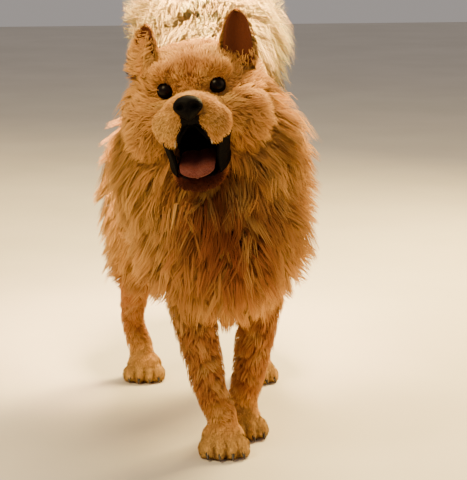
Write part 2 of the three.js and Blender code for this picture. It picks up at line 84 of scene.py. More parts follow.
HEAD = Matrix.Translation(HEAD_AT) @ turn("Z", HEAD_YAW) @ turn("Y", HEAD_ROLL) @ turn("X", HEAD_PITCH)
JAW = HEAD @ Matrix.Translation(JAW_HINGE) @ turn("X", JAW_OPEN) @ Matrix.Translation(JAW_HINGE).inverted()


def moved(points, matrix):
    """The points through a 4 by 4 matrix."""
    m = np.array(matrix)
    return np.asarray(points, float) @ m[:3, :3].T + m[:3, 3]


# The part's frame is the dog's frame, shifted so that its box stands on the origin.
low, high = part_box("left_eye")
SHIFT = np.array((low + high) / 2) * 1000 - moved([EYE_AT["left"]], HEAD)[0]


def placed(points):
    """Millimetres in the dog's frame to metres in the part's frame."""
    return (np.asarray(points, float) + SHIFT) / 1000


def unit(v):
    """Vectors over their own length."""
    return v / np.maximum(np.linalg.norm(v, axis=-1, keepdims=True), 1e-9)


def linear(hexcode):
    """An sRGB hex colour as linear red, green and blue."""
    s = np.array([int(hexcode[i : i + 2], 16) for i in (1, 3, 5)]) / 255
    return np.where(s <= 0.04045, s / 12.92, ((s + 0.055) / 1.055) ** 2.4)


def smooth(values, t):
    """Catmull-Rom through equally spaced values: a cubic between neighbours whose slope at each is half the
    step from the value before it to the one after."""
    v = np.asarray(values, float)
    v = np.concatenate([2 * v[:1] - v[1:2], v, 2 * v[-1:] - v[-2:-1]])
    u = np.clip(t, 0, 1) * (len(v) - 3)
    i = np.minimum(u.astype(int), len(v) - 4)
    f = (u - i).reshape(u.shape + (1,) * (v.ndim - 1))
    a, b, c, d = v[i], v[i + 1], v[i + 2], v[i + 3]
    return 0.5 * (2 * b + (c - a) * f + (2 * a - 5 * b + 4 * c - d) * f**2 + (3 * b - a - 3 * c + d) * f**3)


class Form:
    """Oval sections along a curved spine. Each station is x, y, z, the half sizes to the side, above and
    below, and the coat's depth. caps are the shares of the spine that the rounded ends take, flow says which
    end of the spine the hair points to, fall how far it sinks, and cup how deep the underside is hollowed."""

    def __init__(self, stations, matrix=None, sideways=(1, 0, 0), caps=(0.12, 0.12),
                 flow=-1, fall=0.6, cup=0.0):
        table = np.array(stations, float)
        self.spine, self.sizes = table[:, :3], table[:, 3:]
        self.matrix = matrix or Matrix()
        self.sideways, self.caps = np.array(sideways, float), caps
        self.flow, self.fall, self.cup = flow, fall, cup

    def dome(self, t):
        """1 along the form, falling to 0 over each end as a quarter circle does."""
        near = lambda d, c: np.sqrt(np.maximum(1 - (1 - np.minimum(d / c, 1)) ** 2, 0))
        return near(t, self.caps[0]) * near(1 - t, self.caps[1])

    def skin(self, t, angle):
        """Spine + side x half size x cos(angle) + up x (above or below) x sin(angle), with the sizes times
        the dome. A cup takes its own share times the sine squared from the size below."""
        t, angle = np.broadcast_arrays(np.asarray(t, float), np.asarray(angle, float))
        e = 1e-3
        along = unit(smooth(self.spine, np.clip(t + e, 0, 1)) - smooth(self.spine, np.clip(t - e, 0, 1)))
        side = unit(self.sideways - along * (along @ self.sideways)[..., None])
        up = np.cross(along, side)
        sizes = smooth(self.sizes, t) * self.dome(t)[..., None]
        s = np.sin(angle)
        rise = np.where(s > 0, sizes[..., 1], sizes[..., 2] * (1 - self.cup * s * s)) * s
        reach = sizes[..., 0] * np.cos(angle)
        local = smooth(self.spine, t) + side * reach[..., None] + up * rise[..., None]
        return moved(local, self.matrix)

    def directions(self, t, angle):
        """Outward normal, unit step along the spine and unit step round it, from small differences."""
        e = 4e-3
        along = unit(self.skin(np.clip(t + e, 0, 1), angle) - self.skin(np.clip(t - e, 0, 1), angle))
        round_it = unit(self.skin(t, angle + 0.02) - self.skin(t, angle - 0.02))
        normal = unit(np.cross(round_it, along))
        out = self.skin(t, angle) - moved(smooth(self.spine, t), self.matrix)
        return np.where((normal * out).sum(-1, keepdims=True) < 0, -normal, normal), along, round_it

    def grid(self, rings=40, sides=36, grow=0.0):
        """Rings of points from end to end, each a closed loop, grown outwards by a length."""
        t = (1 - np.cos(np.linspace(0.03, math.pi - 0.03, rings))) / 2
        t = 0.5 * t + 0.5 * np.linspace(t[0], t[-1], rings)
        a = np.linspace(0, 2 * math.pi, sides, endpoint=False)
        tt, aa = np.meshgrid(t, a, indexing="ij")
        points = self.skin(tt, aa)
        if grow:
            points = points + self.directions(tt, aa)[0] * grow
        return points, tt, aa


def tube_faces(rings, sides, closed):
    """Quads between neighbouring rings. A closed tube goes on from its last ring to its first, and an open
    one has a many-sided face over each end."""
    i, j = np.meshgrid(np.arange(rings if closed else rings - 1), np.arange(sides), indexing="ij")
    next_i, next_j = (i + 1) % rings, (j + 1) % sides
    corners = [i * sides + j, i * sides + next_j, next_i * sides + next_j, next_i * sides + j]
    quads = np.stack(corners, -1).reshape(-1, 4).tolist()
    if closed:
        return quads
    return quads + [list(range(sides))[::-1], [(rings - 1) * sides + n for n in range(sides)]]


def link(name, mesh):
    """A new object in the scene that shows a mesh."""
    piece = bpy.data.objects.new(name, mesh)
    bpy.context.collection.objects.link(piece)
    return piece


def surface(name, shapes, matrix=None, closed=False):
    """One object from tubes, each an array of rings by sides of points."""
    points, faces, start = [], [], 0
    for shape in shapes:
        rings, sides = shape.shape[:2]
        points.append(shape.reshape(-1, 3))
        faces += [[n + start for n in face] for face in tube_faces(rings, sides, closed)]
        start += rings * sides
    mesh = bpy.data.meshes.new(name)
    all_points = np.concatenate(points)
    mesh.from_pydata(placed(moved(all_points, matrix) if matrix else all_points), [], faces)
    piece = link(name, mesh)
    tidy(piece)
    return piece


def tidy(piece):
    """Faces point outwards and are shaded smooth."""
    work = bmesh.new()
    work.from_mesh(piece.data)
    bmesh.ops.recalc_face_normals(work, faces=work.faces)
    work.to_mesh(piece.data)
    work.free()
    piece.data.polygons.foreach_set("use_smooth", [True] * len(piece.data.polygons))


def applied(piece):
    """The piece with its modifiers worked into its mesh."""
    graph = bpy.context.evaluated_depsgraph_get()
    mesh = bpy.data.meshes.new_from_object(piece.evaluated_get(graph))
    old = piece.data
    piece.modifiers.clear()
    piece.data = mesh
    bpy.data.meshes.remove(old)
    mesh.name = piece.name
    return piece


def ball(at, radii, matrix=None, rings=16, sides=20):
    """An ellipsoid as rings from pole to pole: height cos(v), ring radius sin(v)."""
    v = np.linspace(0.12, math.pi - 0.12, rings)[:, None]
    a = np.linspace(0, 2 * math.pi, sides, endpoint=False)[None, :]
    shape = np.stack([np.sin(v) * np.cos(a), np.sin(v) * np.sin(a), np.cos(v) + 0 * a], -1)
    points = shape * np.array(radii, float) + np.array(at, float)
    return moved(points, matrix) if matrix else points


# The body's forms, with the same named sizes as the solids
torso = Form(
    [
        (-8, 478, 366, 46, 56, 62, 46),
        (-8, 440, 362, 84, 74, 80, 54),
        (-10, 375, 360, 84, 84, 88, 52),
        (-12, 300, 358, 82, 84, 96, 50),
        (-14, 220, 350, 86, 92, 108, 50),
        (-16, 150, 345, 90, 104, 116, 50),
        (-18, 90, 340, 92, 115, 118, 50),
        (-20, 38, 335, 86, 104, 104, 50),
        (-21, -4, 330, 70, 76, 76, 48),
        (-22, -34, 326, 40, 40, 42, 44),
    ],
    caps=(0.09, 0.09),
)
neck = Form(
    [
        (-20, 92, 352, 84, 86, 84, 40),
        (-30, 62, 400, 80, 80, 84, 62),
        (-45, 36, 450, 70, 70, 76, RUFF_COAT),
        (-60, 16, 495, 64, 62, 70, 84),
        (-70, 20, 536, 58, 54, 60, 78),
    ],
    caps=(0.1, 0.1),
    fall=0.2,
)
tail = Form(
    [
        (-8, 430, 425, 26, 26, 26, 12),
        (-7, 464, 466, 24, 24, 24, 34),
        (-5, 470, 520, 22, 22, 22, 72),
        (-3, 440, 562, 20, 20, 20, TAIL_COAT),
        (-1, 390, 576, 18, 18, 18, TAIL_COAT),
        (2, 340, 560, 15, 15, 15, TAIL_COAT),
        (4, 312, 530, 10, 10, 10, 90),
    ],
    caps=(0.05, 0.12),
    flow=1,
    fall=0.0,
)


def between(a, b, share):
    """A number that lies a share of the way from one to another."""
    return a + (b - a) * share


def foreleg(top, wrist, foot):
    """From inside the chest down through the wrist to the paw."""
    return Form(
        [
            (*top, 30, 34, 34, 10),
            (between(top[0], wrist[0], 0.42), between(top[1], wrist[1], 0.42), 176, 23, 27, 30, 10),
            (between(top[0], wrist[0], 0.75), between(top[1], wrist[1], 0.75), 128, 20, 22, 25, 9),
            (*wrist, 19, 20, 21, 7),
            (foot[0], foot[1] + 48, 52, 19, 18, 19, 5),
            (foot[0], foot[1] + 44, 26, 20, 18, 18, 3),
        ],
        caps=(0.1, 0.08),
        flow=1,
        fall=0.25,
    )


def thigh(s, foot):
    """From the hip to above the hock, with the breeches behind."""
    return Form(
        [
            (s * 58 - 8, 425, 425, 34, 58, 46, 44),
            (s * 70 - 7, 414 + foot, 356, 42, 72, 62, 50),
            (s * 80 - 6, 408 + foot, 286, 38, 62, 60, 46),
            (s * 90 - 4, 420 + foot, 224, 30, 44, 46, 38),
            (s * 98 - 4, 446 + foot, 172, 24, 28, 30, 24),
        ],
        caps=(0.14, 0.14),
        flow=1,
        fall=0.35,
    )


def hind_leg(s, foot):
    """From the stifle through the hock to the paw."""
    x, y = foot
    return Form(
        [
            (s * 96 - 4, y - 6, 214, 24, 34, 30, 8),
            (s * 102 - 3, y + 24, 160, 19, 24, 22, 9),
            (s * 106 - 2, y + 46, 118, 15, 20, 20, 7),
            (s * 103 - 2, y + 54, 84, 15, 17, 18, 6),
            (x, y + 50, 50, 17, 17, 18, 5),
            (x, y + 44, 26, 19, 18, 18, 3),
        ],
        caps=(0.1, 0.08),
        flow=1,
        fall=0.3,
    )


forelegs = {
    "right": foreleg((-66, 80, 250), (-36, 54, 92), FORE_FOOT["right"]),
    "left": foreleg((48, 104, 250), (29, 128, 92), FORE_FOOT["left"]),
}
thighs = {"right": thigh(-1, 10), "left": thigh(1, -22)}
hind_legs = {side: hind_leg(SIDES[side], HIND_FOOT[side]) for side in SIDES}



def rounded(stations, fall, matrix=HEAD, flow=-1):
    """A short form that is rounded over almost half its length at each end."""
    return Form(stations, matrix=matrix, caps=(0.45, 0.45), fall=fall, flow=flow)


in_head = dict(matrix=HEAD, caps=(0.16, 0.16), fall=0.35)
cranium = Form(
    [
        (0, 142, -14, 46, 42, 50, 38),
        (0, 112, -6, 60, 52, 60, 42),
        (0, 75, 2, 64, 53, 58, 38),
        (0, 40, 5, 60, 48, 48, 22),
        (0, 14, 3, 50, 37, 36, 13),
        (0, -5, -4, 32, 21, 22, 7),
    ],
    **in_head,
)
muzzle = Form(
    [
        (0, 28, -34, 44, 24, 28, 10),
        (0, -8, -34, 36, 23, 26, 8),
        (0, -42, -36, 33, 20, 24, 6),
        (0, -70, -38, 26, 16, 18, 4),
    ],
    **in_head,
)
flews, cheeks, brows = [], [], []
for s in SIDES.values():
    flews.append(rounded([
        (s * 27, -8, -50, 19, 20, 24, 11),
        (s * 28, -42, -52, 20, 21, 26, 9),
        (s * 21, -70, -50, 15, 17, 21, 7),
    ], 0.5))
    cheeks.append(rounded([
        (s * 44, 78, -36, 30, 34, 34, 34),
        (s * 44, 34, -36, 28, 34, 36, 24),
        (s * 40, -4, -40, 20, 24, 28, 12),
    ], 0.3))
    brows.append(rounded([
        (s * 31, 16, 20, 20, 12, 12, 9),
        (s * 31, 4, 20, 20, 12, 12, 8),
        (s * 31, -8, 19, 16, 10, 10, 6),
    ], 0.1))
palate = Form(
    [
        (0, 34, -70, 20, 14, 20, 0),
        (0, 0, -72, 22, 20, 20, 0),
        (0, -34, -74, 20, 20, 20, 0),
        (0, -84, -78, 13, 19, 20, 0),
    ],
    **in_head,
)
in_jaw = dict(matrix=JAW, caps=(0.16, 0.2), fall=0.4)
jaw = Form(
    [
        (0, 52, -78, 36, 24, 20, 10),
        (0, 12, -86, 34, 15, 16, 8),
        (0, -24, -88, 30, 12, 13, 6),
        (0, -52, -86, 24, 11, 11, 4),
    ],
    **in_jaw,
)
trough = Form(
    [
        (0, 40, -64, 22, 16, 12, 0),
        (0, 5, -68, 24, 14, 12, 0),
        (0, -26, -70, 24, 14, 12, 0),
        (0, -47, -70, 19, 14, 9, 0),
    ],
    **in_jaw,
)
tongue = Form(
    [
        (0, 38, -70, 18, 8, 8, 0),
        (0, 5, -68, 23, 8, 8, 0),
        (0, -28, -67, 24, 7, 7, 0),
        (0, -48, -69, 23, 6, 6, 0),
        (0, -62, -75, 21, 5, 5, 0),
    ],
    matrix=JAW,
    caps=(0.12, 0.2),
)
EAR_SIZES = [(21, 12, 12), (21, 10, 11), (17, 8, 9), (9, 5, 5)]
EAR_SPINES = {
    "left": [(64, 38, 28), (65, 37, 52), (67, 34, 79), (68, 30, 102)],
    "right": [(-64, 38, 28), (-63, 37, 51), (-59, 34, 74), (-54, 31, 95)],
}
EAR_SWIVEL = {"left": 0.35, "right": -0.9}
# The hair in an ear's cup thins out between two heights, from this share of the hair outside it
CUP_HAIR = {"left": (40, 62, 0.05), "right": (60, 96, 0.7)}
ears = {
    side: Form(
        [(*at, *sizes, 6) for at, sizes in zip(EAR_SPINES[side], EAR_SIZES)],
        matrix=HEAD, sideways=(1, EAR_SWIVEL[side], 0), caps=(0.08, 0.22), flow=1, fall=0.0, cup=1.5,
    )
    for side in SIDES
}


def toes(foot, scale, yaw):
    """Four toes in a fan, with the middle two ahead, and the pad behind them."""
    place = Matrix.Translation((*foot, -SOLE_CUT)) @ turn("Z", yaw) @ Matrix.Scale(scale, 4)
    shapes = [[(x, y + 19, 16, 10, 13, 14, 3), (x, y, 15, 10.5, 14, 15, 3), (x, y - 19, 12, 9, 10, 11, 3)]
              for x, y in TOES]
    shapes.append([(0, 78, 22, 26, 24, 24, 5), (0, 44, 24, 28, 26, 26, 4), (0, 12, 20, 26, 20, 20, 3)])
    return [rounded(stations, 0.5, place, 1) for stations in shapes], place


PAWS = {
    "right_fore": toes(FORE_FOOT["right"], 1, -2),
    "left_fore": toes(FORE_FOOT["left"], 1, 4),
    "right_hind": toes(HIND_FOOT["right"], 0.93, -6),
    "left_hind": toes(HIND_FOOT["left"], 0.93, 6),
}

# Every form that grows hair, by the piece of coat it belongs to
COATED = {
    "torso": [torso],
    "ruff": [neck],
    "head": [cranium, muzzle, jaw, *flews, *cheeks, *brows],
    "tail": [tail],
    "thighs": list(thighs.values()),
    "legs": [*forelegs.values(), *hind_legs.values()],
    "paws": [part for parts, _ in PAWS.values() for part in parts],
}


def search_tree(mesh):
    """A tree that finds the nearest place on a mesh."""
    work = bmesh.new()
    work.from_mesh(mesh)
    tree = bvhtree.BVHTree.FromBMesh(work)
    work.free()
    return tree


# One skin over all of them, with hollows carved for the mouth and the eyes
skin = surface("skin", [form.grid()[0] for forms in COATED.values() for form in forms])
remesh = skin.modifiers.new("union", "REMESH")
remesh.mode, remesh.voxel_size, remesh.use_smooth_shade = "VOXEL", VOXEL, True
applied(skin)
UNCARVED = search_tree(skin.data)
hollow = [surface("hollow", [form.grid()[0]]) for form in (palate, trough)]
CAVITIES = [search_tree(tool.data) for tool in hollow]
hollow += [surface("hollow", [ball(EYE_AT[s], [EYE_RADIUS + 0.4] * 3, HEAD)]) for s in SIDES]
for tool in hollow:
    carve = skin.modifiers.new("carve", "BOOLEAN")
    carve.operation, carve.solver, carve.object = "DIFFERENCE", "MANIFOLD", tool
applied(skin)
for tool in hollow:
    bpy.data.objects.remove(tool)
soften = skin.modifiers.new("soften", "SMOOTH")
soften.factor, soften.iterations = 0.5, 5
applied(skin)
skin.data.polygons.foreach_set("use_smooth", [True] * len(skin.data.polygons))


def vertices_of(mesh):
    """A mesh's points in the dog's own frame."""
    co = np.empty(len(mesh.vertices) * 3)
    mesh.vertices.foreach_get("co", co)
    return co.reshape(-1, 3) * 1000 - SHIFT


# The soles are flat on the floor.
flat = vertices_of(skin.data)
flat[:, 2] = np.maximum(flat[:, 2], 0)
skin.data.vertices.foreach_set("co", placed(flat).ravel())


# The camera, at the photograph's angle: its place, its lens, and how far it looks down and turns
CAMERA_AT = (-366, -2527, 800)
CAMERA_LENS, CAMERA_SENSOR = 142.5, 36
CAMERA_DOWN, CAMERA_YAW = 10.7, -8
camera = bpy.data.objects.new("camera", bpy.data.cameras.new("camera"))
bpy.context.collection.objects.link(camera)
camera.location = placed(CAMERA_AT)
camera.rotation_euler = (math.radians(90 - CAMERA_DOWN), 0, math.radians(CAMERA_YAW))
camera.data.lens, camera.data.sensor_width, camera.data.sensor_fit = CAMERA_LENS, CAMERA_SENSOR, "AUTO"
bpy.context.scene.camera = camera


# How each kind of coat grows: thick is its number of tufts for its area, width their breadth at the root in
# millimetres, lean how far they lie over for their height, and clump how much they draw together
LOOKS = {
    "torso": dict(thick=1.0, width=2.9, lean=0.9, clump=0.62),
    "ruff": dict(thick=2.4, width=2.6, lean=0.6, clump=0.5),
    "head": dict(thick=3.4, width=1.6, lean=1.1, clump=0.35),
    "tail": dict(thick=8.0, width=2.4, lean=0.5, clump=0.35),
    "thighs": dict(thick=1.1, width=2.9, lean=0.95, clump=0.62),
    "legs": dict(thick=1.6, width=2.0, lean=1.6, clump=0.4),
    "paws": dict(thick=3.0, width=1.3, lean=2.0, clump=0.2),
    "ears": dict(thick=1.0, width=1.4, lean=1.2, clump=0.25),
}

# The coat's field: samples over every form, with the depth, lie and place on an unwrap of each
FORMS = [form for forms in COATED.values() for form in forms] + list(ears.values())
FAMILY = [name for name, forms in COATED.items() for _ in forms] + ["ears"] * 2
KINDS = list(COATED) + ["ears"]


def field_samples():
    """Points of every form's grid with what the coat does there, as one array for each key. t and angle are
    the place on the form, form its number, and kind the number of its kind of coat."""
    keys = ("point", "lie", "depth", "t", "angle", "form", "kind", "width", "lean", "clump")
    rows = {key: [] for key in keys}
    for number, form in enumerate(FORMS):
        small = FAMILY[number] in ("paws", "ears") or form in flews + brows
        points, t, a = form.grid(*((10, 12) if small else (34, 32)))
        _, along, round_it = form.directions(t, a)
        lie = unit(along * form.flow - round_it * (form.fall * np.cos(a))[..., None])
        n = points.shape[0] * points.shape[1]
        look = LOOKS[FAMILY[number]]
        depth = smooth(form.sizes[:, 3], t)
        same = (number, KINDS.index(FAMILY[number]), look["width"], look["lean"], look["clump"])
        values = (points.reshape(n, 3), lie.reshape(n, 3), depth.ravel(), t.ravel(), a.ravel(),
                  *(np.full(n, value) for value in same))
        for key, value in zip(keys, values):
            rows[key].append(value)
    return {key: np.concatenate(value) for key, value in rows.items()}


FIELD = field_samples()
TREE = kdtree.KDTree(len(FIELD["t"]))
for number, point in enumerate(FIELD["point"]):
    TREE.insert(point, number)
TREE.balance()


def scattered(piece, count, weigh):
    """count points over a mesh with their normals: a random corner mix on triangles drawn in proportion to
    their area times their weight."""
    mesh = piece.data
    mesh.calc_loop_triangles()
    corners = np.empty(len(mesh.loop_triangles) * 3, np.int32)
    mesh.loop_triangles.foreach_get("vertices", corners)
    corners = corners.reshape(-1, 3)
    normals = np.empty(len(mesh.vertices) * 3)
    mesh.vertex_normals.foreach_get("vector", normals)
    points, normals = vertices_of(mesh), normals.reshape(-1, 3)
    a, b, c = (points[corners[:, k]] for k in range(3))
    share = np.linalg.norm(np.cross(b - a, c - a), axis=1) * weigh((a + b + c) / 3, normals[corners[:, 0]])
    pick = random.choice(len(corners), count, p=share / share.sum())
    r, s = np.sqrt(random.random((2, count)))[:, :, None]
    s = s**2
    weights = np.concatenate([1 - r, r * (1 - s), r * s], 1)[:, :, None]
    return (points[corners[pick]] * weights).sum(1), unit((normals[corners[pick]] * weights).sum(1))


def kind_at(points):
    """The number of the kind of coat at some points, from the nearest sample."""
    return FIELD["kind"][[TREE.find(p)[1] for p in points]]


def of_kind(field, name):
    """True where the coat is of the named kind."""
    return field["kind"] == KINDS.index(name)


def field_at(points, near=10):
    """The coat's field at some points, from the nearest samples weighted by closeness, and combed on the face
    and the chest."""
    found = [TREE.find_n(p, near) for p in points]
    index = np.array([[f[1] for f in row] for row in found])
    distance = np.array([[f[2] for f in row] for row in found])
    w = 1 / (distance + 4) ** 2
    w /= w.sum(1, keepdims=True)
    blend = lambda key: (FIELD[key][index] * (w[..., None] if FIELD[key].ndim > 1 else w)).sum(1)
    first = index[:, 0]
    field = {key: blend(key) for key in ("lie", "depth", "width", "lean", "clump")}
    field.update({key: FIELD[key][first] for key in ("t", "angle", "form", "kind")})
    comb_face(points, field)
    comb_chest(points, field)
    return field


def comb_face(points, field):
    """On the head the hair runs from the nose outwards and back, sinks on the cheeks, stands up round the
    ears and turns away from the eyes. It is short round the eyes, at the corners of the mouth and on the pads
    of the muzzle. It is broad and clumped on the nape and on the outer cheeks, where it is longer too."""
    q = in_frame(points, HEAD)
    out_of_head = np.array(HEAD)[:3, :3].T
    on_head = of_kind(field, "head") * soft(95, 60, q[:, 1])
    way = unit(q - np.array((0, -80, -30))) - np.array((0, 0, 0.35)) * soft(-5, -50, q[:, 2])[:, None]
    from_ears = [np.linalg.norm(q - np.array((s * 60, 26, 24)), axis=1) for s in SIDES.values()]
    ear_base = sum(np.exp(-(far / 30) ** 2) for far in from_ears)
    for s in SIDES.values():
        near_ear = np.clip(1.4 * ear_base * (q[:, 0] * s > 0), 0, 1)[:, None]
        way = way * (1 - near_ear) + np.array((s * 0.25, 0.1, 1)) * near_ear
    way = unit(way) @ out_of_head
    field["lie"] += (way - field["lie"]) * on_head[:, None]
    field["lean"] *= 1 - 0.5 * on_head * soft(-20, 40, q[:, 1])
    field["depth"] += 20 * ear_base * on_head
    from_eyes = {side: q - np.array(EYE_AT[side]) for side in SIDES}
    to_eye = np.min([np.linalg.norm(from_eye, axis=1) for from_eye in from_eyes.values()], 0)
    most = 3.5 + 0.55 * np.maximum(to_eye - EYE_RADIUS - 3, 0) + 60 * (1 - on_head)
    field["depth"] = np.minimum(field["depth"], most)
    for side, s in SIDES.items():
        field["depth"] *= 1 - 0.75 * mound(q, (s * 46, -6, -68), (15, 28, 15))
        far = np.linalg.norm(from_eyes[side], axis=1, keepdims=True)
        field["lie"] += 1.3 * soft(34, 14, far) * (from_eyes[side] / far) @ out_of_head
    folded = np.stack([np.abs(q[:, 0]), q[:, 1], q[:, 2]], 1)
    pads = np.clip(1.5 * mound(folded, (28, -50, -56), (26, 34, 24)), 0, 1)
    field["depth"] *= 1 - 0.45 * pads
    field["clump"] *= 1 - 0.7 * pads
    nape = of_kind(field, "head") * soft(50, 100, q[:, 1])
    field["width"] += 0.9 * nape
    field["clump"] += 0.2 * nape
    outer = on_head * soft(42, 64, folded[:, 0]) * soft(25, -5, q[:, 2]) * soft(-10, 20, q[:, 1])
    field["depth"] += 12 * outer
    field["width"] += 0.9 * outer
    field["clump"] += 0.25 * outer


def comb_chest(points, field):
    """On the front of the chest the hair hangs down and a little outwards. Beside the head the ruff stands
    back, and is deeper on the left than on the right."""
    x, y, z = points.T
    all_over = np.ones(len(points))
    front = soft(60, -10, y) * ~of_kind(field, "head") * soft(180, 240, z)
    hang = unit(np.stack([(x + 22) / 110, -0.15 * all_over, -1.0 * all_over], 1))
    field["lie"] += (hang - field["lie"]) * front[:, None]
    mane = of_kind(field, "ruff") * soft(465, 515, z)
    left = soft(-60, 20, x)
    back = np.stack([0.5 * left, 0.7 * all_over, 0.5 * left - 0.2], 1)
    field["lie"] += (back - field["lie"]) * 0.7 * mane[:, None]
    field["depth"] *= 1 + (0.3 * left - 0.12) * mane


def in_frame(points, matrix):
    """The points in the frame that a matrix places."""
    return moved(points, matrix.inverted())


def soft(edge0, edge1, x):
    """0 below the first edge and 1 past the second, with a smooth step between."""
    f = np.clip((x - edge0) / (edge1 - edge0), 0, 1)
    return f * f * (3 - 2 * f)


def mound(points, at, size):
    """exp(-d squared), with d the distance from a point, over a size on each axis."""
    return np.exp(-(((points - np.array(at)) / np.array(size)) ** 2).sum(1))


# Coat colours, shared by the skin and the tufts. The darkest red-brown is painted only as shade,
# and the near black both as black skin and as painted shade.
GOLD, AMBER, CREAM, PALE, DEEP_SHADE_BROWN, BLACK_SKIN_AND_SHADE, EAR_RED = (
    linear(c) for c in ("#da9850", "#8b4526", "#f4c674", "#ffdf9f", "#501e10", "#080302", "#5c2e1a")
)


def in_mouth(points):
    """True within the margin of the hollows carved for the mouth, and inside them."""
    found = np.zeros(len(points), bool)
    close = np.flatnonzero(np.linalg.norm(in_frame(points, HEAD) - np.array((0, -20, -70)), axis=1) < 110)
    for number, at in zip(close, placed(points[close])):
        for cavity in CAVITIES:
            near, normal, _, distance = cavity.find_nearest(Vector(at))
            found[number] |= distance < MOUTH_MARGIN / 1000 or (Vector(at) - near).dot(normal) < 0
    return found


def corner_skin(head, jaw_frame):
    """True on the bare black skin at the corners of the mouth, for points in the head's frame that are also
    given in the jaw's."""
    x, y, z = head.T
    jaw_x, jaw_y, jaw_z = jaw_frame.T
    flew_edge = (z < -66) & (z > -92) & (abs(x) > 12) & (abs(x) < 46)
    jaw_edge = (jaw_z > -82) & (jaw_z < -60) & (abs(jaw_x) < 40)
    inner = (abs(x) < 38) & (y > -20)
    return (flew_edge | jaw_edge) & (y < 30) & (jaw_y > -46) & ((z < -70) | inner)


def cleft(head, half_width):
    """True on the bare strip under the nose, between the two sides of the upper lip."""
    x, y, z = head.T
    return (abs(x) < half_width) & (z < -44) & (z > -80) & (y < -50)


def markings(points, on_skin=False):
    """The coat's colour at points of the dog's frame: gold all over, turning to cream on the tail, the back,
    the flanks, the muzzle and the feet, and to red-brown on the chest, the legs, the jaw, the forehead and
    between the toes, with pale brows and pale fur under the eyes. The cream of the flanks is painted light
    and that of the back partly so. The red-brown of the chest, of the jaw towards the lip and between the
    toes is painted shade. The left pad of the muzzle is painted in shade and the right one in light. On the
    skin the bare places are dark, and inside the mouth that is painted shade."""
    x, y, z = points.T
    head, jaw_frame = in_frame(points, HEAD), in_frame(points, JAW)
    colour = np.tile(GOLD, (len(points), 1))

    def paint(target, amount):
        nonlocal colour
        colour = colour + (target - colour) * np.clip(amount, 0, 1)[:, None]

    patch = lambda at, size: mound(points, at, size)
    spot = lambda at, size: mound(head, at, size)
    pair = lambda at, size: spot(at, size) + spot((-at[0], *at[1:]), size)
    dapple = np.sin(x * 0.11 + np.sin(z * 0.07) * 2) * np.sin(z * 0.09 + y * 0.06)
    dapple = dapple * np.sin(y * 0.08 - x * 0.05)
    # The body, from the flanks and the back to the chest, the legs and the tail
    # Painted light: the flanks turn a little cream where light catches the sides. The back turns cream,
    # partly as its own colour and partly as painted light from above.
    paint(CREAM, 0.25 * soft(90, 150, abs(x + 20)) * soft(200, 300, z))
    paint(CREAM, 0.6 * soft(440, 520, z) * soft(40, 160, y))
    paint(CREAM, 0.35 * soft(430, 500, y))
    # Painted shade: the chest darkens to red-brown, most of all under the jaw, where the head shades it, and
    # a little lower down the front.
    paint(AMBER, patch((-20, -70, 320), (95, 130, 140)))
    paint(DEEP_SHADE_BROWN, 0.9 * patch((-50, -90, 385), (66, 100, 60)) + 0.3 * patch((-10, -90, 290), (50, 90, 60)))
    paint(AMBER, 0.75 * soft(230, 180, z) * soft(30, 90, z))
    paint(AMBER, 0.4 * np.clip(dapple, 0, 1))
    paint(CREAM, 0.3 * np.clip(-dapple, 0, 1))
    paint(PALE, soft(440, 500, z) * soft(170, 240, y))
    # The face: forehead, muzzle, brows, under the eyes and the cheeks
    paint(AMBER, 0.8 * spot((2, 5, 24), (12, 36, 22)) + 0.65 * pair((25, 0, 24), (16, 24, 9)))
    # Painted shade: the left pad of the muzzle is darker.
    paint(AMBER, 0.75 * spot((40, -44, -50), (20, 30, 26)))
    paint(CREAM, 0.4 * pair((34, 10, 50), (20, 30, 13)) + 0.75 * pair((36, -8, -19), (17, 26, 8)))
    paint(CREAM, 0.35 * spot((0, -55, -14), (16, 30, 12)) + 0.4 * pair((34, -50, -56), (14, 30, 20)))
    # Painted light: the right pad of the muzzle is lighter.
    paint(CREAM, 0.35 * spot((-34, -50, -56), (18, 30, 22)))
    paint(AMBER, 0.5 * pair((62, 20, -36), (20, 36, 34)))
    # The jaw's fur is amber, and towards the lip it darkens to red-brown and near black: painted shadow under
    # the tongue
    jaw_x, jaw_y, jaw_z = jaw_frame.T
    near_jaw = np.hypot(jaw_x / 42, (jaw_z + 86) / 26) < 1
    on_jaw = soft(-62, -72, jaw_z) * soft(30, -10, jaw_y) * near_jaw
    paint(AMBER, 0.7 * on_jaw)
    paint(DEEP_SHADE_BROWN, on_jaw * soft(-8, -40, jaw_y))
    paint(BLACK_SKIN_AND_SHADE, 0.4 * on_jaw * soft(-30, -50, jaw_y))
    # The feet, with painted shade between the toes
    paint(CREAM, 0.55 * soft(48, 14, z))
    for _, place in PAWS.values():
        q = in_frame(points, place)
        toe_gap_shade = sum(np.exp(-(((q[:, 0] - at) / 3) ** 2)) for at in (-17, 0, 17))
        on_paw = np.linalg.norm(q, axis=1) < 70
        paint(DEEP_SHADE_BROWN, 0.8 * toe_gap_shade * soft(34, 8, q[:, 1]) * soft(40, 20, q[:, 2]) * on_paw)
    # Bare skin is painted near black: the cleft under the nose and the corners of the mouth for their black
    # skin, and inside the mouth as painted shade.
    if on_skin:
        paint(BLACK_SKIN_AND_SHADE, in_mouth(points) | cleft(head, 13) | corner_skin(head, jaw_frame))
    return colour


def strand_faces(rings):
    """The triangles of one strand: its base, its three sides from ring to ring, and its tip."""
    faces = [(0, 1, 2)]
    for k in range(rings - 1):
        for s in range(3):
            a, b = 3 * k + s, 3 * k + (s + 1) % 3
            faces += [(b + 3, b, a), (a + 3, b + 3, a)]
    top = 3 * (rings - 1)
    faces += [(top + (s + 1) % 3, top + s, top + 3) for s in range(3)]
    return np.array(faces)


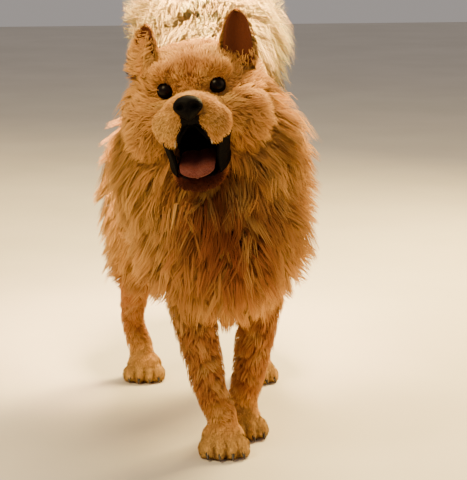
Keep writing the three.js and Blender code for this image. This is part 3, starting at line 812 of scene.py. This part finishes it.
def triangle_mesh(name, vertices, triangles, facing):
    """A smooth mesh of triangles that is shaded as if its points faced the given ways."""
    mesh = bpy.data.meshes.new(name)
    mesh.vertices.add(len(vertices))
    mesh.vertices.foreach_set("co", placed(vertices).ravel())
    mesh.loops.add(triangles.size)
    mesh.loops.foreach_set("vertex_index", triangles.ravel())
    mesh.polygons.add(len(triangles))
    mesh.polygons.foreach_set("loop_start", np.arange(0, triangles.size, 3))
    mesh.polygons.foreach_set("use_smooth", [True] * len(triangles))
    mesh.update(calc_edges=True)
    mesh.normals_split_custom_set_from_vertices(unit(facing))
    return mesh


def colour_points(mesh, colours):
    """Keeps a linear colour for each point of a mesh in its coat attribute."""
    opaque = np.ones((len(mesh.vertices), 4))
    opaque[:, :3] = colours
    mesh.color_attributes.new("coat", "FLOAT_COLOR", "POINT").data.foreach_set("color", opaque.ravel())


def strand_colours(base, plume, tone, along):
    """Colours along strands: each runs from a root that is redder outside the plume to a paler, creamier tip.
    Its brightness goes up with the place along it to the power 0.8, from 0.7 of full at the root, or 0.95 on
    the plume, to 1.1 at the tip: painted shade deep in the coat."""
    dark = np.where(plume, 0.95, 0.7)[:, None]
    root_shade_ramp = dark + (1.1 - dark) * along[None, :] ** 0.8
    tip = base + (CREAM - base) * (0.3 * soft(0.02, 0.3, base.mean(1)))[:, None]
    low = base + (AMBER - base) * (0.35 * soft(0.05, 0.2, base.mean(1)) * ~plume)[:, None]
    blend = low[:, None] + (tip - low)[:, None] * along[None, :, None]
    return np.clip(blend * tone[:, None] * root_shade_ramp[:, :, None], 0, 1)


def strand_map(field, rings, along):
    """A map for the strands: a small patch for each strand at its root's place on the unwrapped forms, which
    stand in a square of tiles."""
    used = sorted(set(field["form"].tolist()))
    tiles = math.ceil(math.sqrt(len(used)))
    tile = np.array([used.index(f) for f in field["form"]])
    corner = np.stack([tile % tiles, tile // tiles], 1) + 0.02
    root = (corner + 0.96 * np.stack([(field["angle"] / (2 * math.pi)) % 1, field["t"]], 1)) / tiles
    offset = np.stack([[0, 0.5, 1] * rings + [0.5], along], 1) * 0.003
    return (root[:, None] + offset[None]).reshape(-1, 2)


def tufts(name, roots, normals, field, slot, length=1.0, broad=1.0, sections=SHORT_RINGS, gather=14,
          shade=1.0):
    """Tapered strands with three sides. With u from 0 at the root to 1 at the tip, a strand stands
    0.9 depth (2u - u squared) off the skin, runs depth x lean (0.3u + 0.7u squared) along the lie, waves
    across it by two sines of u, and sinks by 0.1 depth u squared. It draws towards its clump's strand by
    clump times u squared, and is width (1 - u) to the power 0.7 across. Strands of a clump share most of
    their length, swing and tone."""
    count, rings = len(roots), len(sections)
    seeds = random.choice(count, max(count // gather, 1), replace=False)
    tree = kdtree.KDTree(len(seeds))
    for k, seed in enumerate(seeds):
        tree.insert(roots[seed], k)
    tree.balance()
    mine = seeds[[tree.find(p)[1] for p in roots]]

    def shared(spread):
        own = random.normal(0, spread, (2, count))
        return 0.8 * own[0][mine] + 0.5 * own[1]

    lie = unit(field["lie"] - normals * (field["lie"] * normals).sum(1, keepdims=True))
    across = unit(np.cross(normals, lie))
    depth = field["depth"] * length * np.clip(0.92 + shared(0.13), 0.5, 1.12)
    lie = unit(lie + across * shared(0.3)[:, None] + normals * shared(0.06)[:, None])
    lean, clump = field["lean"] * depth, field["clump"]
    phase = random.random(count) * 2 * math.pi
    curl = np.where(of_kind(field, "tail"), 0.6, 1)

    def strand(u):
        rise = depth * 0.9 * (2 * u - u * u)
        run = lean * (0.3 * u + 0.7 * u * u)
        wave = (np.sin(phase + u * 7) * 0.05 + np.sin(phase[mine] + u * 4) * 0.13) * depth * curl * u
        off = normals * rise[:, None] + lie * run[:, None]
        return roots + off + across * wave[:, None] - np.array((0, 0, 1)) * (depth * 0.10 * u * u)[:, None]

    along_it = [*sections, 1.0]
    centres = []
    for u in along_it:
        c = strand(u)
        c = c + (c[mine] - c) * (clump * u * u)[:, None]
        c[:, 2] = np.maximum(c[:, 2], 1.0)
        centres.append(c)
    points, facing = [], []
    wide = field["width"] * broad * (0.8 + 0.4 * random.random(count))
    for k, u in enumerate(sections):
        run = unit(centres[k + 1] - centres[max(k - 1, 0)])
        side = unit(np.cross(run, normals + 0.2 * lie))
        up = np.cross(side, run)
        half = (wide * (1 - u) ** 0.7 / 2)[:, None]
        sink = -normals * 2.0 if k == 0 else 0
        for way in (side * half, up * half * 0.55, -side * half):
            points.append(centres[k] + way + sink)
        # The coat is lit as one soft surface, so a strand's shading leans to the skin's own normal.
        facing += [normals + 0.5 * side, normals + 0.5 * up, normals - 0.5 * side]
    points.append(centres[-1])
    facing.append(normals + 0.4 * lie)
    per = 3 * rings + 1
    vertices = np.stack(points, 1).reshape(-1, 3)
    vertices[:, 2] = np.maximum(vertices[:, 2], 0.4)
    starts = (np.arange(count) * per)[:, None, None]
    triangles = (strand_faces(rings)[None] + starts).reshape(-1, 3)
    mesh = triangle_mesh(name, vertices, triangles, np.stack(facing, 1).reshape(-1, 3))
    base = markings(roots + normals * depth[:, None] * 0.6)
    tone = (1 + shared(0.11))[:, None] * shade
    along = np.repeat(along_it, [3] * rings + [1])
    colour_points(mesh, strand_colours(base, of_kind(field, "tail"), tone, along).reshape(-1, 3))
    uv = strand_map(field, rings, along)
    mesh.uv_layers.new(name="OFBake").data.foreach_set("uv", uv[triangles.ravel()].ravel())
    piece = link(name, mesh)
    piece.data.materials.append(FUR)
    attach(piece, "root")
    return piece


def material(name):
    """A node material with its output's shader."""
    made = bpy.data.materials.new(name)
    made.use_nodes = True
    return made, made.node_tree.nodes["Principled BSDF"]


def add(mat, kind, links=(), **settings):
    """Adds a node with its settings and input values, and joins it: links are (input, node, output)."""
    node = mat.node_tree.nodes.new(kind)
    for key, value in settings.items():
        if hasattr(node, key):
            setattr(node, key, value)
        else:
            node.inputs[key.replace("_", " ")].default_value = value
    for into, other, out in links:
        mat.node_tree.links.new(node.inputs[into], other.outputs[out])
    return node


def set_shader(shader, **values):
    """Sets a shader's own inputs, named with underscores."""
    for key, value in values.items():
        shader.inputs[key.replace("_", " ")].default_value = value


def feed(mat, shader, colour, bump=None):
    """Joins a node's colour, and a bump where there is one, to the shader."""
    mat.node_tree.links.new(shader.inputs["Base Color"], colour.outputs["Color"])
    if bump:
        mat.node_tree.links.new(shader.inputs["Normal"], bump.outputs["Normal"])


# Outer coat hair: long, harsh keratin strands, almost matt, coloured from the root up
FUR, shader = material("golden_guard_hair")
feed(FUR, shader, add(FUR, "ShaderNodeAttribute", attribute_name="coat"))
set_shader(shader, Roughness=0.8, IOR=1.5, Specular_IOR_Level=0.12)

# Skin under the coat: wool and short flat hair, with a fine bump about 2 mm across
WOOL, shader = material("short_wool_over_skin")
place = add(WOOL, "ShaderNodeTexCoord")
fine = add(WOOL, "ShaderNodeTexNoise", [("Vector", place, "Object")], Scale=420.0, Detail=4.0)
bump = add(WOOL, "ShaderNodeBump", [("Height", fine, "Fac")], Strength=0.7, Distance=0.0012)
feed(WOOL, shader, add(WOOL, "ShaderNodeAttribute", attribute_name="coat"), bump)
set_shader(shader, Roughness=0.85, Specular_IOR_Level=0.15)


def finished(piece, mat):
    """Gives a piece one material on all its faces."""
    piece.data.materials.clear()
    piece.data.materials.append(mat)
    piece.data.polygons.foreach_set("material_index", [0] * len(piece.data.polygons))


def painted(piece, shade=0.7, tint=None):
    """Gives a piece the coat's markings, or a colour of its own, as its vertex colours."""
    mesh = piece.data
    colour_points(mesh, (markings(vertices_of(mesh), True) if tint is None else tint) * shade)
    finished(piece, WOOL)


painted(skin)
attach(skin, "root")
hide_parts("torso", "neck_ruff", "head", "lower_jaw", "left_thigh", "right_thigh",
            "left_foreleg", "right_foreleg", "left_hind_leg", "right_hind_leg",
            "left_forepaw", "right_forepaw", "left_hindpaw", "right_hindpaw")


def bare(points):
    """True where no hair grows: on the eyes, the nose and the cleft under it, in the mouth and at its
    corners."""
    q = in_frame(points, HEAD)
    from_eyes = [np.linalg.norm((q - np.array(at)) * (1, 1, 1.3), axis=1) for at in EYE_AT.values()]
    eyes = np.min(from_eyes, 0) < EYE_RADIUS + 0.8
    nose = np.linalg.norm((q - np.array((0, -76, -38))) / np.array((20, 16, 17)), axis=1) < 1
    return eyes | nose | in_mouth(points) | cleft(q, 12) | corner_skin(q, in_frame(points, JAW))


def growing(centres, normals):
    """How thickly tufts stand at some places of the skin."""
    thick = np.array([LOOKS[kind]["thick"] for kind in KINDS])[kind_at(centres)]
    return thick * ~bare(centres) * (centres[:, 2] > 1.5)


# The undercoat is short broad tufts that close the coat below the guard hair's finer ones.
for layer, count, rings, style in (
    ("undercoat", UNDERCOAT_TUFTS, (0.0,), dict(length=0.66, broad=2.9, shade=0.9)),
    ("coat", COAT_TUFTS, SHORT_RINGS, {}),
):
    roots, normals = scattered(skin, count, growing)
    field = field_at(roots)
    for number, kind in enumerate(KINDS[:-1]):
        mine = np.flatnonzero(field["kind"] == number)
        sections = LONG_RINGS if layer == "coat" and kind in ("ruff", "tail") else rings
        parts = math.ceil(len(mine) * len(strand_faces(len(sections))) / MOST_TRIANGLES)
        for part, rows in enumerate(np.array_split(mine, parts)):
            tufts(f"{layer}_{kind}_{part + 1}", roots[rows], normals[rows],
                  {key: value[rows] for key, value in field.items()},
                  "cream_coat" if kind == "tail" else "golden_coat", sections=sections, **style)

# Fine wisps stand out of the upper part of the plume, each on its own.
on_tail = lambda centres, normals: (kind_at(centres) == KINDS.index("tail")) * (centres[:, 2] > 515)
roots, normals = scattered(skin, WISPS, on_tail)
tufts("coat_tail_wisps", roots, normals, field_at(roots), "cream_coat", broad=0.6, sections=LONG_RINGS,
      gather=1)

# Ears: thick, rounded and cupped, with short hair outside and on the rims and warm bare skin in the cups
for side, form in ears.items():
    ear = surface(f"{side}_ear_leather", [form.grid(44, 48)[0]])
    painted(ear, 0.9, EAR_RED)
    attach(ear, "root")
    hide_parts(f"{side}_ear")
    facing = unit(np.array(HEAD)[:3, :3] @ np.array((EAR_SWIVEL[side] * 0.6, -1, 0.1)))
    low, high, most = CUP_HAIR[side]
    inside = lambda centres: soft(high, low, in_frame(centres, HEAD)[:, 2]) * most
    hairy = lambda centres, normals: np.maximum(soft(0.3, -0.1, normals @ facing), inside(centres))
    points, normals = scattered(ear, EAR_TUFTS, hairy)
    near = field_at(points, 6)
    near["depth"] = 9 - 5 * soft(50, 90, in_frame(points, HEAD)[:, 2])
    tufts(f"coat_{side}_ear", points, normals, near, "ear", gather=8)


def mottled(name, dark, light, scale, depth, **values):
    """A material whose colour and height follow one noise: scale in cycles a metre, depth in metres."""
    made, shader = material(name)
    place = add(made, "ShaderNodeTexCoord")
    grain = add(made, "ShaderNodeTexNoise", [("Vector", place, "Object")], Scale=scale, Detail=5.0)
    mix = add(made, "ShaderNodeValToRGB", [("Fac", grain, "Fac")])
    for stop, position, colour in zip(mix.color_ramp.elements, (0.3, 0.7), (dark, light)):
        stop.position, stop.color = position, (*linear(colour), 1)
    bump = add(made, "ShaderNodeBump", [("Height", grain, "Fac")], Strength=0.6, Distance=depth)
    feed(made, shader, mix, bump)
    set_shader(shader, **values)
    return made


# Nose leather: almost black and a little moist, with pebbles about 1 mm across
NOSE = mottled("pebbled_nose_leather", "#020101", "#080504", 900.0, 0.0004,
               Roughness=0.55, Specular_IOR_Level=0.07)
# Lips, eye rims and the corners of the mouth: smooth, hairless black skin, almost matt
LIP = mottled("black_lip_skin", "#020101", "#060303", 500.0, 0.0003, Roughness=0.7, Specular_IOR_Level=0.05)
# Tongue: moist flesh with fine papillae, mauve-pink mottled with dark red
TONGUE = mottled("wet_mauve_tongue", "#54251f", "#754037", 700.0, 0.0003,
                 Roughness=0.6, Specular_IOR_Level=0.12, Subsurface_Weight=0.15, Subsurface_Scale=0.004)
# Throat: lining that is almost black in its own shade
MOUTH = mottled("dark_mouth_lining", "#050202", "#120405", 260.0, 0.0004,
                Roughness=0.8, Specular_IOR_Level=0.05)
# Teeth: enamel, slightly yellow, and glossy
ENAMEL = mottled("ivory_enamel", "#b8a888", "#d6cab0", 300.0, 0.0001, Roughness=0.25)
# Claws: horn, nearly black, with a dull polish
HORN = mottled("dark_claw_horn", "#14100d", "#3a2c20", 400.0, 0.0002, Roughness=0.4)


def carried(piece, mat, slot, *nodes):
    """Finishes a piece, lets it ride on the dog and hides the solids it stands for; its slot is not used."""
    finished(piece, mat)
    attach(piece, "root")
    if nodes:
        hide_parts(*nodes)
    return piece


def nose_shape(rings=44, sides=56):
    """A ball stretched to its three radii, a quarter narrower at its bottom, with wells of depth
    exp(-d cubed) or exp(-d squared) pressed into its front: two nostrils, their side slits and a groove down
    the middle."""
    wide, deep, high = 19.5, 13, 15.5
    points = ball((0, 0, 0), (1, 1, 1), rings=rings, sides=sides)
    x, y, z = points[..., 0], points[..., 1], points[..., 2]
    px = wide * x * (1 - 0.24 * soft(0.1, -1.0, z)) * (1 + 0.04 * z)
    py, pz = deep * y, high * z - 2 * soft(0.5, 0, abs(x)) * soft(0, -1, z)
    well = np.zeros_like(px)
    front = soft(0.2, -0.3, y)
    for s in (-1, 1):
        hole = ((px - s * 8.6) / 4.6) ** 2 + ((pz + 0.5) / 3.9) ** 2
        slit = ((px - s * 14.2) / 5.0) ** 2 + ((pz + 1.5) / 1.7) ** 2
        well += 7 * np.exp(-(hole**1.5)) + 3.5 * np.exp(-slit)
    well += 1.6 * np.exp(-((px / 1.1) ** 2)) * soft(2, -4, pz)
    return np.stack([px, py + well * front, pz], -1) + np.array((0, -74, -36))


carried(surface("nose_pad", [nose_shape()], HEAD), NOSE, "nose_leather", "nose")


def band(path, radius, sides=14):
    """A round band along a path of points: each ring lies across the path's own direction, and its radius
    falls to a third at both ends."""
    path = np.asarray(path, float)
    run = unit(np.gradient(path, axis=0))
    side = unit(np.cross(run, (0.3, 0.2, 1)))
    up = np.cross(side, run)
    a = np.linspace(0, 2 * math.pi, sides, endpoint=False)
    ends = np.clip(np.minimum(np.arange(len(path)), np.arange(len(path))[::-1]) / 5, 0.12, 1) ** 0.5
    r = np.broadcast_to(radius, len(path)) * ends
    out = side[:, None] * np.cos(a)[:, None] + up[:, None] * np.sin(a)[:, None]
    return path[:, None] + r[:, None, None] * out


def tongue_shape():
    """The tongue's form with a groove of depth exp(-d squared) along the middle of its upper side, and its
    edges raised by the square of the distance from the middle."""
    points, _, a = tongue.grid(44, 40)
    q = in_frame(points.reshape(-1, 3), JAW).reshape(points.shape)
    q[..., 2] -= 2.6 * np.exp(-((q[..., 0] / 4.5) ** 2)) * soft(0, 1, np.sin(a))
    q[..., 2] += 2.2 * (q[..., 0] / 24) ** 2
    return moved(q.reshape(-1, 3), JAW).reshape(points.shape)


carried(surface("tongue_flesh", [tongue_shape()]), TONGUE, "tongue", "tongue")


def rim(form, turn_from, turn_to, reach=(0.12, 0.97)):
    """The edge of a carved hollow on one side: at steps along its form, the last angle on the way from
    turn_from to turn_to at which the hollow's wall is still inside the uncarved head."""
    t = np.linspace(*reach, 70)
    angles = np.radians(np.linspace(turn_from, turn_to, 60))
    wall = form.skin(*np.meshgrid(t, angles, indexing="ij"))
    edge = []
    for row in wall:
        for point in row[::-1]:
            at = Vector(placed(point))
            near, normal, _, _ = UNCARVED.find_nearest(at)
            if (at - near).dot(normal) < 0:
                edge.append(point)
                break
    return np.array(edge)


def evened(path, count=48):
    """The path's points at equal steps along its length, after each is averaged with its neighbours."""
    for _ in range(3):
        path[1:-1] = (path[:-2] + 2 * path[1:-1] + path[2:]) / 4
    far = np.concatenate([[0], np.cumsum(np.linalg.norm(np.diff(path, axis=0), axis=1))])
    at = np.linspace(0, far[-1], count)
    return np.stack([np.interp(at, far, path[:, k]) for k in range(3)], 1)


# Lips: a rounded black edge along both sides of the palate and the jaw
upper = [evened(rim(palate, 90, 90 - s * 150)) for s in SIDES.values()]
lower = [evened(rim(trough, -90, -90 + s * 150)) for s in SIDES.values()]
carried(surface("upper_lips", [band(path, 2.6) for path in upper]), LIP, "nose_leather")
carried(surface("lower_lip", [band(path, 2.4) for path in lower]), LIP, "nose_leather")

# The corners of the mouth: black skin stretched from the lower edge of each flew to the jaw's rim
FLEW_EDGE = [(38, -46, -70), (44, -32, -67), (47, -14, -64), (47, 4, -62), (43, 22, -64)]
JAW_EDGE = [(29, -34, -81), (34, -20, -81), (38, -4, -80), (41, 12, -76), (41, 28, -70)]


def web(s):
    """A sheet of bands between the flew's edge and the jaw's, sunk a little in its middle."""
    steps = np.linspace(0, 1, 26)
    top = moved(smooth(FLEW_EDGE, steps) * (s, 1, 1), HEAD)
    low = moved(smooth(JAW_EDGE, steps) * (s, 1, 1), JAW)
    ends = np.linspace(0, 1, 9)[:, None, None]
    sunk = np.array(HEAD)[:3, 0] * -s * 4 * (ends * (1 - ends) * 4)
    rows = top[None] * (1 - ends) + low[None] * ends + sunk
    return [band(rows[:, k], 3.4, 10) for k in range(len(steps))]


carried(surface("mouth_corners", web(1) + web(-1)), LIP, "nose_leather")

# The throat: a dark body that closes the back of the mouth
lining = Form([(0, 44, -66, 25, 22, 34, 0), (0, 24, -66, 27, 20, 34, 0), (0, 12, -68, 22, 14, 26, 0)],
              matrix=HEAD, caps=(0.4, 0.4))
carried(surface("throat", [lining.grid(20, 32)[0]]), MOUTH, "nose_leather")


def cone(at, radius, length, matrix, bend=0.0, rings=14, sides=12):
    """A tapering tooth or claw: its radius times (1 - v) to the power 0.7 along its length, moved on Y by
    bend times v squared."""
    v = np.linspace(0, 0.985, rings)[:, None]
    a = np.linspace(0, 2 * math.pi, sides, endpoint=False)[None]
    r = radius * (1 - v) ** 0.7
    shape = np.stack([r * np.cos(a), r * np.sin(a) + bend * v**2 + 0 * a, length * v + 0 * a], -1)
    return moved((shape + np.array(at)).reshape(-1, 3), matrix).reshape(shape.shape)


upper_canines = [cone((s * 24, -52, -62), 3.4, -22, HEAD, 2) for s in SIDES.values()]
carried(surface("upper_teeth", upper_canines), ENAMEL, "tongue")

# Eyes: dark brown, almost black, and smooth enough for a soft highlight
EYE = mottled("dark_brown_eye", "#050302", "#170b06", 160.0, 0.00005, Roughness=0.3, Specular_IOR_Level=0.12)
# The slit between the eyelids, half its width and half its height, as angles from the eye's axis
SLIT = (math.radians(52), math.radians(40))
# The angle of the lids' outer edge, and how much further it reaches at the corners of each eye
LID_EDGE, LID_CORNERS = math.radians(66), {"left": 0.42, "right": 0.12}
# How far the lids stand over the eye, and how far each eye is turned to its side
LID_HEIGHT, EYE_YAW = 0.9, 14


def lid_ring(side):
    """A closed ring round an oval slit. For each direction round the eye its section is a rounded lip, whose
    angle from the eye's axis runs from the slit to the outer edge and back, and which stands over the eye on
    the way out and sinks into it on the way back."""
    u = np.linspace(0, 2 * math.pi, 64)[:-1][:, None]
    v = np.linspace(0, 2 * math.pi, 24, endpoint=False)[None, :]
    slit = 1 / np.sqrt((np.cos(u) / SLIT[0]) ** 2 + (np.sin(u) / SLIT[1]) ** 2)
    polar = slit + (LID_EDGE + LID_CORNERS[side] * np.cos(u) ** 2 - slit) * (1 - np.cos(v)) / 2
    over = LID_HEIGHT * (0.5 - 0.5 * np.cos(v)) ** 0.5 * (v < math.pi)
    radius = EYE_RADIUS + 0.3 + over - 2.5 * (v >= math.pi) * np.sin(v) ** 2
    across, rise = np.sin(polar) * np.cos(u), np.sin(polar) * np.sin(u)
    local = np.stack([across, -np.cos(polar) + 0 * u, rise], -1) * radius[..., None]
    yaw = math.radians(SIDES[side] * EYE_YAW)
    x, y = local[..., 0].copy(), local[..., 1].copy()
    local[..., 0] = x * math.cos(yaw) - y * math.sin(yaw)
    local[..., 1] = x * math.sin(yaw) + y * math.cos(yaw)
    return local + np.array(EYE_AT[side])


for side in SIDES:
    eye = surface(f"{side}_eyeball", [ball(EYE_AT[side], [EYE_RADIUS] * 3, rings=36, sides=48)], HEAD)
    carried(eye, EYE, "eye", f"{side}_eye")
    carried(surface(f"{side}_eyelids", [lid_ring(side)], HEAD, closed=True), LIP, "nose_leather")

# Claws: one over the tip of each toe, bent down to the floor
for name, (_, place) in PAWS.items():
    horns = []
    for x, y in TOES:
        tip = Matrix.Translation((x * 1.02, y - 15, 13)) @ turn("X", 118)
        horns.append(cone((0, 0, 0), 3.2, 13.5, place @ tip, -2.0))
    carried(surface(f"{name}_claws", horns), HORN, "golden_coat")

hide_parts("tail")

# The studio: a plain pale floor, even daylight from all round and five soft lamps
FLOOR = 8
DAYLIGHT = 0.42
floor_mesh = bpy.data.meshes.new("floor")
corners = [(-FLOOR, -FLOOR, 0), (FLOOR, -FLOOR, 0), (FLOOR, FLOOR, 0), (-FLOOR, FLOOR, 0)]
floor_mesh.from_pydata(corners, [], [(0, 1, 2, 3)])
floor = link("floor", floor_mesh)
floor.data.materials.append(mottled("pale_matt_floor", "#cfc9c0", "#d8d2c9", 3.0, 0.0001, Roughness=0.8))
world = bpy.data.worlds.new("studio")
bpy.context.scene.world = world
world.use_nodes = True
sky = world.node_tree.nodes["Background"]
sky.inputs["Color"].default_value = (*linear("#f0e6e0"), 1)
sky.inputs["Strength"].default_value = DAYLIGHT


def lamp(name, at, aim, watts, size, colour, spread=180):
    """A square soft lamp at a point, turned to face another, with its beam's spread in degrees."""
    light = bpy.data.lights.new(name, "AREA")
    light.spread = math.radians(spread)
    light.energy, light.size, light.color = watts, size, linear(colour)
    lamp_object = bpy.data.objects.new(name, light)
    bpy.context.collection.objects.link(lamp_object)
    lamp_object.location = at
    lamp_object.rotation_euler = (Vector(aim) - Vector(at)).to_track_quat("-Z", "Y").to_euler()


lamp("key", (-1.7, -1.1, 2.6), (0, 0, 0.4), 90, 1.0, "#ffdf9e")
lamp("fill", (2.2, -0.6, 1.6), (0, 0, 0.4), 11, 1.6, "#ffd9a0")
lamp("crest", (0.0, -0.35, 1.5), (0, 0.2, 0.62), 9, 0.3, "#ffd09a", 34)
lamp("edge", (1.2, 1.2, 1.5), (0.05, 0, 0.42), 190, 0.8, "#ffdb8c")
lamp("rim", (0.4, 1.0, 2.7), (0, 0.1, 0.5), 110, 1.2, "#ffe2a6")
